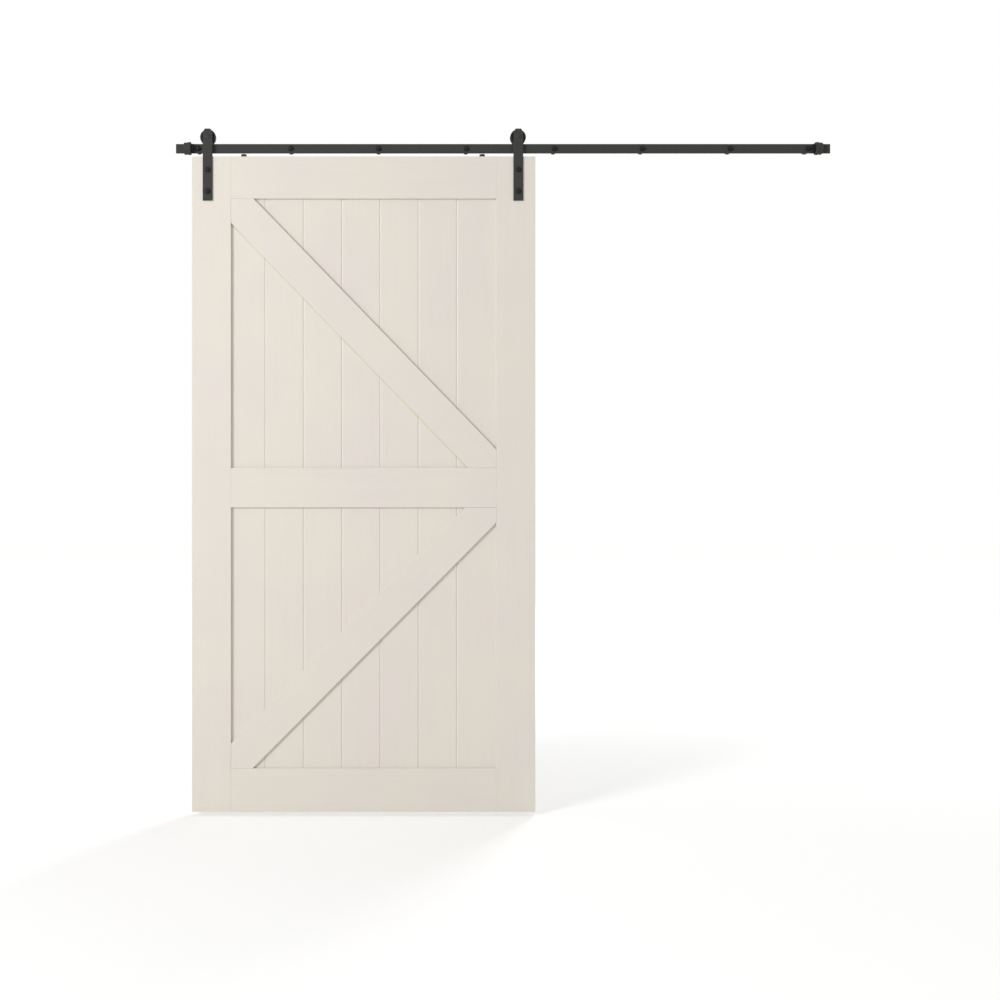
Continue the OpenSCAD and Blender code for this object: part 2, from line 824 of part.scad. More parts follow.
module anti_jump_screws() {
    seat_h = jump_disc_t - jump_head_h;
    tip = -seat_h - jump_screw_l + jump_play;
    color(black_steel)
        for (x = jump_places)
            translate([x, y_rail, z_top + seat_h])
                rotate_extrude()
                    polygon([
                        [0, tip], [jump_screw_d / 2, tip + jump_screw_d], [jump_screw_d / 2, 0],
                        [jump_head_d / 2, 0], [jump_head_d / 2, jump_head_h], [0, jump_head_h]
                    ]);
}

stile(-1);  // left_stile
stile(1);  // right_stile
top_rail();
middle_rail();
bottom_rail();
upper_brace();
lower_brace();
for (i = [1 : board_count]) {
    board(i, z_upper_low, z_upper_high);
    board(i, z_lower_low, z_lower_high);
}
frame_dowels();
hanger_strap(hanger_places[0]);  // left_hanger_strap
hanger_strap(hanger_places[1]);  // right_hanger_strap
hanger_bolts();
hanger_washers();
hanger_nuts();
wheel(hanger_places[0]);  // left_wheel
wheel(hanger_places[1]);  // right_wheel
bearing_ring(hanger_places[0], outer_ring_r, bearing_r);  // left_bearing_outer_ring
bearing_ring(hanger_places[1], outer_ring_r, bearing_r);  // right_bearing_outer_ring
bearing_ring(hanger_places[0], bolt_r + bearing_play, inner_ring_r);  // left_bearing_inner_ring
bearing_ring(hanger_places[1], bolt_r + bearing_play, inner_ring_r);  // right_bearing_inner_ring
bearing_balls(hanger_places[0]);  // left_bearing_balls
bearing_balls(hanger_places[1]);  // right_bearing_balls
bearing_shields(hanger_places[0]);  // left_bearing_shields
bearing_shields(hanger_places[1]);  // right_bearing_shields
axle_bolts();
axle_spacers();
axle_nuts();
anti_jump_disc(jump_places[0]);  // left_anti_jump_disc
anti_jump_disc(jump_places[1]);  // right_anti_jump_disc
anti_jump_screws();
track_rail();
for (i = [1 : len(lag_places)])
    standoff(i);
lag_bolts();
stop_collar(-1);  // left_stop_collar
stop_collar(1);  // right_stop_collar
stop_bumper(-1);  // left_stop_bumper
stop_bumper(1);  // right_stop_bumper
stop_set_screws();
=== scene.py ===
"""Looks of a sliding barn door: paint, coated steel, turned wheels, threaded bolts and a pale stage."""
import json
import math

import bpy
import numpy as np
from bpy.props import FloatProperty, FloatVectorProperty, PointerProperty
from bpy.types import Operator, Panel, PropertyGroup
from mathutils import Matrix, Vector


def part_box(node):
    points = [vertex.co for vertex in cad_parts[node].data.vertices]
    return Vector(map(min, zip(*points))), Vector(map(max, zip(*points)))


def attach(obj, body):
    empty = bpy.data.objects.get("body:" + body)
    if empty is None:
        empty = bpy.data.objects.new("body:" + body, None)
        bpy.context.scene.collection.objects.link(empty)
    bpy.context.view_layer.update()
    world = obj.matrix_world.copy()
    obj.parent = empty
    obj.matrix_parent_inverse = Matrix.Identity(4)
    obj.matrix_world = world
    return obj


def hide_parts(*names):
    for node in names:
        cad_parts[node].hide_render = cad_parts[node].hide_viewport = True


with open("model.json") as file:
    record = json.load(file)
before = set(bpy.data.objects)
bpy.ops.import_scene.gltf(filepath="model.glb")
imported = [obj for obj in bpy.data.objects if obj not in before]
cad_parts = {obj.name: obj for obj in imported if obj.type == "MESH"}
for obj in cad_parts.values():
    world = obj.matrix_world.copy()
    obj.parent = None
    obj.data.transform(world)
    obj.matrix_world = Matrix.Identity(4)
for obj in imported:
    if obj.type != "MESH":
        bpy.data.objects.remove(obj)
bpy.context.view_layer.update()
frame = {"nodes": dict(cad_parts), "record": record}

bl_info = {
    "name": "Sliding barn door",
    "version": (1, 0, 0),
    "blender": (4, 5, 0),
    "location": "3D View > Sidebar > Barn Door",
    "description": "Finishes and fine detail for a braced board door on a flat wall track",
    "category": "Object",
}

MM = 0.001
RECORD = frame["record"]
WHITE = (1, 1, 1, 1)

# Steps round a turned piece, a multiple of twelve so that a hexagon's corners fall on steps
TURN_STEPS = 72
ANGLES = np.linspace(0, 2 * math.pi, TURN_STEPS, endpoint=False)
# Edges that bend more than this stay sharp
SHARP_ANGLE = math.radians(32)
# Room between the last row of a smooth shank and the first row of its thread
THREAD_GAP = 0.1 * MM
# Most shares of a noise pattern lie in this range
NOISE_LOW = 0.3
NOISE_HIGH = 0.7


def linear_colour(hex_code):
    """Turns an sRGB hex code such as #e4ddd2 into linear red, green and blue."""
    srgb = np.array([int(hex_code[i:i + 2], 16) for i in (1, 3, 5)]) / 255
    return tuple(np.where(srgb <= 0.04045, srgb / 12.92, ((srgb + 0.055) / 1.055) ** 2.4).tolist())


def colour_property(name, description, hex_code):
    """A colour that a user may change, given as an sRGB hex code."""
    return FloatVectorProperty(
        name=name, description=description, subtype="COLOR", size=3, min=0, max=1,
        default=linear_colour(hex_code),
    )


def length_property(name, description, millimetres):
    """A length that a user may change, given in millimetres and kept in metres."""
    return FloatProperty(name=name, description=description, unit="LENGTH", min=0, default=millimetres * MM)


def factor_property(name, description, share):
    """A share from 0 to 1 that a user may change."""
    return FloatProperty(name=name, description=description, subtype="FACTOR", min=0, max=1, default=share)


def power_property(name, description, watts):
    """A lamp's power in watts that a user may change."""
    return FloatProperty(name=name, description=description, unit="POWER", min=0, default=watts)


class LeafPaint(PropertyGroup):
    """Paint of the door leaf."""

    paint: colour_property("Paint", "Ivory satin paint of frame, braces and boards", "#e1dbd0")
    blush: colour_property("Blush", "Slightly pinker ivory that the paint drifts to in patches", "#e1d9d1")
    # Painted shade: a darker colour laid into the corner under the upper brace as shade there, and the
    # width of its strip
    crease_shade_colour: colour_property("Crease shade", "Painted shade in the corner under the upper brace", "#d4ccbd")
    crease_shade_width: length_property("Corner width", "Width of the strip of painted shade in that corner", 5.5)
    beech: colour_property("Beech", "Bare beech of the dowels in the frame's joints", "#c9a878")
    stroke_width: length_property("Stroke width", "Width of a brush mark across the grain", 5)
    stroke_length: length_property("Stroke length", "Length of a brush mark along the grain", 260)
    stroke_depth: length_property("Stroke depth", "Height of the brush marks", 0.12)
    patch_size: length_property("Patch size", "Size of the patches in which the paint's hue drifts", 280)
    tone_spread: factor_property("Tone spread", "How far the paint's tone strays from its colour", 0.011)
    fleck_width: length_property("Fleck width", "Width of a fleck in the beech", 0.5)
    fleck_length: length_property("Fleck length", "Length of a fleck in the beech", 4)


class HardwareFinish(PropertyGroup):
    """Colours and grain of the track's hardware."""

    coat: colour_property("Powder coat", "Charcoal powder coat of rail, straps and stops", "#3e3e3d")
    phosphate: colour_property("Phosphate", "Black phosphate of bolts and nuts", "#1c1c1d")
    nylon: colour_property("Nylon", "Black nylon of the wheels", "#161617")
    rubber: colour_property("Rubber", "Black rubber of the bumpers", "#141414")
    bearing_steel: colour_property("Bearing steel", "Ground steel of the bearings", "#b9bcc0")
    coat_grit: length_property("Coat grit", "Size of the powder coat's fine lumps", 1.5)
    coat_relief: length_property("Coat relief", "Height of the powder coat's fine lumps", 0.07)
    crystal_size: length_property("Crystal size", "Size of the phosphate's crystals", 0.8)
    pebble_size: length_property("Pebble size", "Size of the pebbles on the rubber's skin", 0.7)
    turning_pitch: length_property("Turning pitch", "Spacing of the rings that turning leaves", 0.8)


class HardwareSizes(PropertyGroup):
    """Sizes of the fine detail on bolts and wheels."""

    lag_flats: length_property("Lag head", "Width across flats of a lag bolt's head", 13)
    lag_head: length_property("Lag head height", "Height of the hexagon of a lag bolt's head", 4.6)
    lag_flange: length_property("Lag flange", "Diameter of the flange under a lag bolt's head", 17.6)
    lag_flange_height: length_property("Lag flange height", "Thickness of that flange", 1.8)
    lag_shank: length_property("Lag shank", "Diameter of a lag bolt's smooth shank", 7.4)
    lag_thread: length_property("Lag thread", "Diameter over a lag bolt's thread", 8)
    lag_root: length_property("Lag root", "Diameter at the root of a lag bolt's thread", 5.8)
    lag_pitch: length_property("Lag pitch", "Pitch of a lag bolt's thread", 3.6)
    lag_point: length_property("Lag point", "Length of a lag bolt's point", 12)
    bolt: length_property("Bolt", "Diameter of the door bolts and axle bolts", 10)
    bolt_root: length_property("Bolt root", "Diameter at the root of their thread", 8.2)
    bolt_pitch: length_property("Bolt pitch", "Pitch of their thread", 1.5)
    bolt_thread: length_property("Bolt thread", "Length of their thread", 16)
    bolt_flats: length_property("Bolt head", "Width across flats of a door bolt's head", 16)
    dome: length_property("Axle head", "Diameter of an axle bolt's domed head", 18)
    tread: length_property("Tread radius", "Radius of a wheel's tread", 20.9)
    groove: length_property("Groove", "Width of a wheel's groove at the tread", 7)
    groove_mouth: length_property("Groove mouth", "Width of a wheel's groove at the flanges' rims", 10)
    web: length_property("Web", "Thickness of a wheel's web", 12)
    recess: length_property("Recess radius", "Radius of the recess in a wheel's sides", 19.1)
    seat: length_property("Seat radius", "Radius of a wheel's bearing seat", 15.05)
    seat_end: length_property("Seat end", "Depth of the bearing seat behind the wheel's middle", 4.55)
    lip: length_property("Lip", "Depth of the lip that the bearing sits against", 1.5)
    rim_rounding: length_property("Rim rounding", "Reach of the rounding on a wheel's rims", 2.4)
    groove_rounding: length_property("Groove rounding", "Reach of the rounding in a wheel's groove", 0.8)


class StudioStage(PropertyGroup):
    """Floor, light and camera."""

    floor: colour_property("Floor", "Pale floor", "#f4f4f3")
    floor_gap: length_property("Floor gap", "Room between the hanging leaf and the floor", 12)
    floor_size: length_property("Floor size", "Length of the floor's sides", 60000)
    near_glow: factor_property("Near glow", "Light that the floor adds for the camera near the leaf", 0.18)
    far_glow: factor_property("Far glow", "Light that the floor adds for the camera far from the leaf", 0.5)
    glow_reach: length_property("Glow reach", "Distance from the origin at which the far glow begins", 9000)
    ambient: factor_property("Ambient", "Strength of the even light from all sides", 0.55)
    key_power: power_property("Key power", "Power of the soft lamp in front", 322)
    key_left: length_property("Key left", "How far the soft lamp is to the left of the leaf's middle", 5300)
    key_front: length_property("Key front", "How far the soft lamp is in front of the leaf", 5700)
    key_up: length_property("Key up", "How far the soft lamp is above the leaf's middle", 2000)
    fill_power: power_property("Fill power", "Power of the soft lamp behind", 220)
    fill_right: length_property("Fill right", "How far the lamp behind is right of the leaf's middle", 3400)
    fill_back: length_property("Fill back", "How far the lamp behind is from the leaf", 6500)
    fill_up: length_property("Fill up", "How far the lamp behind is above the leaf's middle", 2500)
    lamp_size: length_property("Lamp size", "Width of each soft lamp", 2600)
    view_distance: length_property("View distance", "Distance of the camera from the leaf's front", 4200)
    view_width: length_property("View width", "Width of the view at the leaf's front", 3254.4)


def add_node(tree, kind, inputs=None, **settings):
    """Adds one node with its settings. Inputs are values, or outputs of other nodes, by socket."""
    made = tree.nodes.new(kind)
    for name, value in settings.items():
        setattr(made, name, value)
    for socket, value in (inputs or {}).items():
        if isinstance(value, bpy.types.NodeSocket):
            tree.links.new(value, made.inputs[socket])
        else:
            made.inputs[socket].default_value = value
    return made


def new_material(name, colour, roughness, metallic=0, specular=0.5):
    """A material with one plain shader. Returns the material, its node tree and the shader."""
    material = bpy.data.materials.new(name)
    material.use_nodes = True
    shader = material.node_tree.nodes["Principled BSDF"]
    shader.inputs["Base Color"].default_value = (*colour, 1)
    shader.inputs["Roughness"].default_value = roughness
    shader.inputs["Metallic"].default_value = metallic
    shader.inputs["Specular IOR Level"].default_value = specular
    return material, material.node_tree, shader


def tone(colour, share):
    """A colour made lighter or darker by a share, as four channels."""
    return (*[min(1, channel * (1 + share)) for channel in colour], 1)


def grain_space(tree, size, turn=0, centre=(0, 0, 0)):
    """Object coordinates counted in grains of a given size, from a centre and turned about Y.

    The size is one length, or a length along each axis.
    """
    place = add_node(tree, "ShaderNodeTexCoord").outputs["Object"]
    scale = size if isinstance(size, tuple) else (size, size, size)
    counted = add_node(
        tree, "ShaderNodeMapping",
        {"Vector": place, "Location": centre, "Rotation": (0, turn, 0), "Scale": scale},
        vector_type="TEXTURE",
    )
    return counted.outputs["Vector"]


def vary_tone(tree, shader, share, colour, spread):
    """Lets the base colour run from darker to lighter by a spread, as a share from 0 to 1 says."""
    mixed = add_node(
        tree, "ShaderNodeMix",
        {"Factor": share, 6: tone(colour, -spread), 7: tone(colour, spread)},
        data_type="RGBA",
    )
    tree.links.new(mixed.outputs[2], shader.inputs["Base Color"])


def vary_roughness(tree, shader, share, smoothest, dullest):
    """Lets the roughness run between two values, as a share says."""
    spread = add_node(
        tree, "ShaderNodeMapRange",
        {
            "Value": share, "From Min": NOISE_LOW, "From Max": NOISE_HIGH,
            "To Min": smoothest, "To Max": dullest,
        },
    )
    tree.links.new(spread.outputs["Result"], shader.inputs["Roughness"])


def raise_skin(tree, shader, share, strength, height):
    """Raises the surface by a height where a share is 1."""
    relief = add_node(tree, "ShaderNodeBump", {"Strength": strength, "Distance": height, "Height": share})
    tree.links.new(relief.outputs["Normal"], shader.inputs["Normal"])


def satin_paint(name, look, turn):
    """Brushed satin paint over sanded boards. Turn is the angle of the grain from upright, about Y.

    It gives the eye a soft sheen, faint brush marks along the grain and a slow drift of hue.
    The marks are drawn coarser than real bristle marks, so that they show at a door's distance.
    """
    material, tree, shader = new_material(name, look.paint, roughness=0.42)
    stroke = grain_space(tree, (look.stroke_width, look.stroke_width, look.stroke_length), turn)
    strokes = add_node(
        tree, "ShaderNodeTexNoise",
        {"Vector": stroke, "Scale": 1, "Detail": 3, "Roughness": 0.55},
    )
    patch = grain_space(tree, look.patch_size)
    patches = add_node(
        tree, "ShaderNodeTexNoise",
        {"Vector": patch, "Scale": 1, "Detail": 2, "Roughness": 0.5},
    )
    drift = add_node(
        tree, "ShaderNodeMapRange",
        {"Value": patches.outputs["Fac"], "From Min": 0.35, "From Max": 0.65},
    )
    hue = add_node(
        tree, "ShaderNodeMix",
        {"Factor": drift.outputs["Result"], 6: (*look.paint, 1), 7: (*look.blush, 1)},
        data_type="RGBA",
    )
    brightness = add_node(
        tree, "ShaderNodeMapRange",
        {
            "Value": strokes.outputs["Fac"], "From Min": NOISE_LOW, "From Max": NOISE_HIGH,
            "To Min": 1 - look.tone_spread, "To Max": 1 + look.tone_spread,
        },
    )
    toned = add_node(
        tree, "ShaderNodeVectorMath",
        {"Vector": hue.outputs[2], "Scale": brightness.outputs["Result"]},
        operation="SCALE",
    )
    tree.links.new(toned.outputs["Vector"], shader.inputs["Base Color"])
    vary_roughness(tree, shader, strokes.outputs["Fac"], smoothest=0.38, dullest=0.48)
    raise_skin(tree, shader, strokes.outputs["Fac"], strength=0.5, height=look.stroke_depth)
    return material


def paint_crease_shade(material, look, turn, corner):
    """Paints shade into the corner under a slanted edge: a darker colour that stands in for the shade
    there.

    The edge passes through the corner's place, at an angle from upright about Y. Only what lies in front
    of that place changes. It gives the eye a faint warm line of painted shade that fades out a shade width
    from the edge.
    """
    # Share of the shade's width over which the painted shade is full, before the strip fades out
    shade_share = 0.5
    tree = material.node_tree
    shader = tree.nodes["Principled BSDF"]
    place = grain_space(tree, look.crease_shade_width, turn, corner)
    across = add_node(tree, "ShaderNodeSeparateXYZ", {0: place})
    apart = add_node(tree, "ShaderNodeMath", {0: across.outputs["X"]}, operation="ABSOLUTE")
    share = add_node(
        tree, "ShaderNodeMapRange",
        {"Value": apart.outputs["Value"], "From Min": shade_share, "From Max": 1, "To Min": 1, "To Max": 0},
    )
    front = add_node(tree, "ShaderNodeMath", {0: across.outputs["Y"], 1: 0}, operation="LESS_THAN")
    strip = add_node(
        tree, "ShaderNodeMath",
        {0: share.outputs["Result"], 1: front.outputs["Value"]},
        operation="MULTIPLY",
    )
    # The paint's own colour, before the painted shade is mixed in along the strip
    unshaded = shader.inputs["Base Color"].links[0].from_socket
    mixed = add_node(
        tree, "ShaderNodeMix",
        {"Factor": strip.outputs["Value"], 6: unshaded, 7: (*look.crease_shade_colour, 1)},
        data_type="RGBA",
    )
    tree.links.new(mixed.outputs[2], shader.inputs["Base Color"])


def powder_coat(look):
    """Charcoal powder coat, baked on flat steel: an even, dull dark grey with a fine lumpy skin.

    The lumps are drawn coarser than real ones, so that they show.
    """
    material, tree, shader = new_material("charcoal_powder_coat", look.coat, roughness=0.6, specular=0.12)
    grit = grain_space(tree, look.coat_grit)
    lumps = add_node(tree, "ShaderNodeTexNoise", {"Vector": grit, "Scale": 1, "Detail": 2})
    vary_tone(tree, shader, lumps.outputs["Fac"], look.coat, spread=0.12)
    vary_roughness(tree, shader, lumps.outputs["Fac"], smoothest=0.5, dullest=0.7)
    raise_skin(tree, shader, lumps.outputs["Fac"], strength=0.6, height=look.coat_relief)
    return material


def black_phosphate(look):
    """Black phosphate on machined steel: nearly black, with crystals that break up its slight oily sheen.

    The crystals are drawn coarser than real ones, so that they show.
    """
    material, tree, shader = new_material(
        "black_phosphate_steel", look.phosphate, roughness=0.55, specular=0.2,
    )
    crystal = grain_space(tree, look.crystal_size)
    crystals = add_node(tree, "ShaderNodeTexNoise", {"Vector": crystal, "Scale": 1, "Detail": 3})
    vary_tone(tree, shader, crystals.outputs["Fac"], look.phosphate, spread=0.15)
    vary_roughness(tree, shader, crystals.outputs["Fac"], smoothest=0.48, dullest=0.64)
    return material


def turning_rings(tree, look, axle):
    """Shares of rings round an axle that runs along Y, a turning pitch apart.

    The rings are drawn coarser than real ones, so that they show.
    """
    # A wave texture of scale 1 repeats every tenth of pi
    repeat = 0.1 * math.pi
    ring = grain_space(tree, look.turning_pitch / repeat, centre=axle)
    rings = add_node(
        tree, "ShaderNodeTexWave",
        {"Vector": ring, "Scale": 1, "Distortion": 0.4},
        wave_type="RINGS", rings_direction="Y",
    )
    return rings.outputs["Fac"]


def turned_nylon(side, look, axle):
    """Turned black nylon: satin black with fine rings round the axle, which is the pattern's centre."""
    material, tree, shader = new_material(
        f"turned_black_nylon_{side}", look.nylon, roughness=0.45, specular=0.25,
    )
    rings = turning_rings(tree, look, axle)
    vary_tone(tree, shader, rings, look.nylon, spread=0.08)
    raise_skin(tree, shader, rings, strength=0.4, height=0.02 * MM)
    return material


def ground_steel(side, look, axle):
    """Ground bearing steel: bright grey metal whose shine is drawn out by fine rings round the axle."""
    material, tree, shader = new_material(
        f"ground_bearing_steel_{side}", look.bearing_steel, roughness=0.28, metallic=1,
    )
    rings = turning_rings(tree, look, axle)
    vary_tone(tree, shader, rings, look.bearing_steel, spread=0.06)
    vary_roughness(tree, shader, rings, smoothest=0.22, dullest=0.36)
    return material


def moulded_rubber(look):
    """Moulded rubber: deep matt black with a fine pebbled skin that hardly shines."""
    material, tree, shader = new_material("moulded_black_rubber", look.rubber, roughness=0.8, specular=0.25)
    pebble = grain_space(tree, look.pebble_size)
    pebbles = add_node(tree, "ShaderNodeTexNoise", {"Vector": pebble, "Scale": 1, "Detail": 1})
    vary_tone(tree, shader, pebbles.outputs["Fac"], look.rubber, spread=0.2)
    raise_skin(tree, shader, pebbles.outputs["Fac"], strength=0.5, height=0.05 * MM)
    return material


def bare_beech(look):
    """Bare turned beech: pale pinkish brown and dull, with short dark flecks along X, as the dowels lie."""
    material, tree, shader = new_material("bare_turned_beech", look.beech, roughness=0.6)
    fleck = grain_space(tree, (look.fleck_length, look.fleck_width, look.fleck_width))
    flecks = add_node(tree, "ShaderNodeTexNoise", {"Vector": fleck, "Scale": 1, "Detail": 2})
    vary_tone(tree, shader, flecks.outputs["Fac"], look.beech, spread=0.2)
    raise_skin(tree, shader, flecks.outputs["Fac"], strength=0.3, height=0.05 * MM)
    return material


def finish_node(node, material):
    """Gives a solid of the frame its material."""
    mesh = frame["nodes"][node].data
    mesh.materials.clear()
    mesh.materials.append(material)


def nodes_of(slot):
    """The names of the solids that the record gives to a material slot."""
    return [part["node"] for part in RECORD["subparts"] if part["material_slot"] == slot]


def centres(node, radius):
    """Places of like round pieces at the corners of a node's box, each a radius in from its sides."""
    low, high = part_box(node)
    columns = (low.x + radius, high.x - radius)
    rows = (low.z + radius, high.z - radius)
    return [Vector((x, 0, z)) for x in columns for z in rows]


def hexagon(across_flats):
    """Radius of a hexagon at every step, with corners up and down.

    It is half the width across flats over the cosine of the angle from the middle of the nearest flat.
    """
    from_flat = np.mod(ANGLES + math.pi / 6, math.pi / 3) - math.pi / 6
    return across_flats / 2 / np.cos(from_flat)


def hexagon_corner(across_flats):
    """Radius of a hexagon's corners."""
    return across_flats / 2 / math.cos(math.pi / 6)


def grid_quads(rows, looped):
    """Quads between neighbouring rows of a grid that closes round.

    A looped grid also joins its last row to its first.
    """
    row = np.arange(rows if looped else rows - 1)[:, None]
    column = np.arange(TURN_STEPS)[None, :]
    next_row = (row + 1) % rows * TURN_STEPS
    next_column = (column + 1) % TURN_STEPS
    row = row * TURN_STEPS
    corners = [row + column, next_row + column, next_row + next_column, row + next_column]
    return np.stack(corners, axis=-1).reshape(-1, 4)


def turned_points(radius, depth):
    """Points of rows round Y: x = r cos a, y = depth, z = r sin a, for a radius at each row and step."""
    x = radius * np.cos(ANGLES)
    z = radius * np.sin(ANGLES)
    return np.stack([x, np.broadcast_to(depth[:, None], x.shape), z], axis=-1).reshape(-1, 3)


def turned_solid(radius, depth, front, back):
    """A solid of rows round Y, closed at each end by a fan round a point."""
    rows = len(depth)
    points = np.vstack([turned_points(radius, depth), [[0, front, 0], [0, back, 0]]])
    step = np.arange(TURN_STEPS)
    after = (step + 1) % TURN_STEPS
    last = (rows - 1) * TURN_STEPS
    tip = rows * TURN_STEPS
    front_fan = np.stack([np.full_like(step, tip), step, after], axis=-1)
    back_fan = np.stack([np.full_like(step, tip + 1), last + after, last + step], axis=-1)
    return points, grid_quads(rows, False), np.vstack([front_fan, back_fan])


def turned_ring(profile):
    """A ring: a closed profile of radius and depth, carried round Y."""
    radius = np.broadcast_to(profile[:, :1], (len(profile), TURN_STEPS))
    return turned_points(radius, profile[:, 1]), grid_quads(len(profile), True), np.empty((0, 3), int)


def rounded_profile(corners, reach, steps=6):
    """A closed outline with rounded corners.

    From a to b round corner c it runs (1-t)^2 a + 2t(1-t) c + t^2 b. Points a and b lie on the sides
    that meet at c, each at that corner's reach from it.
    """
    corners = np.array(corners)
    reach = np.array(reach)[:, None]
    before = np.roll(corners, 1, axis=0) - corners
    after = np.roll(corners, -1, axis=0) - corners
    a = corners + before / np.linalg.norm(before, axis=1, keepdims=True) * reach
    b = corners + after / np.linalg.norm(after, axis=1, keepdims=True) * reach
    t = np.linspace(0, 1, steps)[None, :, None]
    curve = (1 - t) ** 2 * a[:, None] + 2 * t * (1 - t) * corners[:, None] + t ** 2 * b[:, None]
    return curve.reshape(-1, 2)


def thread_rows(start, end, crest, root, pitch, runout):
    """Radius and depth of a thread's rows between two depths.

    The ridge climbs a pitch a turn: its height is a triangle wave of depth / pitch - angle / turn,
    cut flat at crest and root. The groove beside it sinks in over the runout at the start.
    """
    rows_per_pitch = 10
    uncut_height = 1.9
    flank_slope = 3
    depth = np.linspace(start, end, int((end - start) / pitch * rows_per_pitch))
    phase = np.mod(depth[:, None] / pitch - ANGLES[None, :] / (2 * math.pi), 1)
    ridge = np.clip(uncut_height - flank_slope * np.abs(2 * phase - 1), 0, 1)
    rise = np.clip((depth - start) / runout, 0, 1)[:, None]
    return root + (crest - root) * (1 - rise * (1 - ridge)), depth


def crowned_hexagon(across_flats, top, bottom):
    """Rows of a hexagon from its top to its bottom, cut by a cone of 30 degrees round its top."""
    crown_share = 0.95
    crown_rows = 7
    corner = hexagon_corner(across_flats)
    crown = crown_share * across_flats / 2
    crown_depth = (corner - crown) * math.tan(math.pi / 6)
    depth = np.append(np.linspace(top, top + crown_depth, crown_rows), bottom)
    cone = np.append(np.linspace(crown, corner, crown_rows), corner)
    return np.minimum(hexagon(across_flats)[None, :], cone[:, None]), depth


def round_rows(radii, depths):
    """Rows of plain circles."""
    return np.broadcast_to(np.array(radii)[:, None], (len(radii), TURN_STEPS)), np.array(depths)


def stacked(*parts):
    """Joins rows of several stretches into one radius array and one depth array."""
    return np.vstack([part[0] for part in parts]), np.concatenate([part[1] for part in parts])


def new_piece(name, form, places, material, body, slot, *replaced):
    """Makes one piece of a form repeated at places. It rides on a body and replaces solids of the frame."""
    points, quads, triangles = form
    offsets = np.array([list(place) for place in places])
    shift = np.arange(len(places))[:, None, None] * len(points)
    all_points = (points[None] + offsets[:, None]).reshape(-1, 3)
    all_quads = (quads[None] + shift).reshape(-1, 4)
    all_triangles = (triangles[None] + shift).reshape(-1, 3)
    mesh = bpy.data.meshes.new(name)
    mesh.from_pydata(all_points.tolist(), [], all_quads.tolist() + all_triangles.tolist())
    if mesh.validate():
        raise RuntimeError(f"{name} has faulty faces")
    mesh.shade_smooth()
    mesh.set_sharp_from_angle(angle=SHARP_ANGLE)
    mesh.materials.append(material)
    piece = bpy.data.objects.new(name, mesh)
    bpy.context.scene.collection.objects.link(piece)
    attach(piece, body)
    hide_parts(*replaced)


def axle_places():
    """Where each wheel's axle is, by side, from the record's joints."""
    return {
        joint["name"].split("_")[0]: Vector(joint["pos_m"])
        for joint in RECORD["behaviour"]["joints"] if joint["type"] == "hinge"
    }


def lag_places():
    """Where each lag bolt is: half the spacing of a bolt pattern to either side of its middle."""
    places = []
    for mount in RECORD["mounts"]:
        if mount["kind"] == "bolt_pattern":
            half = mount["dims"]["spacing_x_mm"] * MM / 2
            places += [Vector(mount["pos_m"]) + Vector((side * half, 0, 0)) for side in (-1, 1)]
    return places


def shared_material(name, make, *details):
    """The material of that name, made on its first use."""
    return bpy.data.materials.get(name) or make(*details)


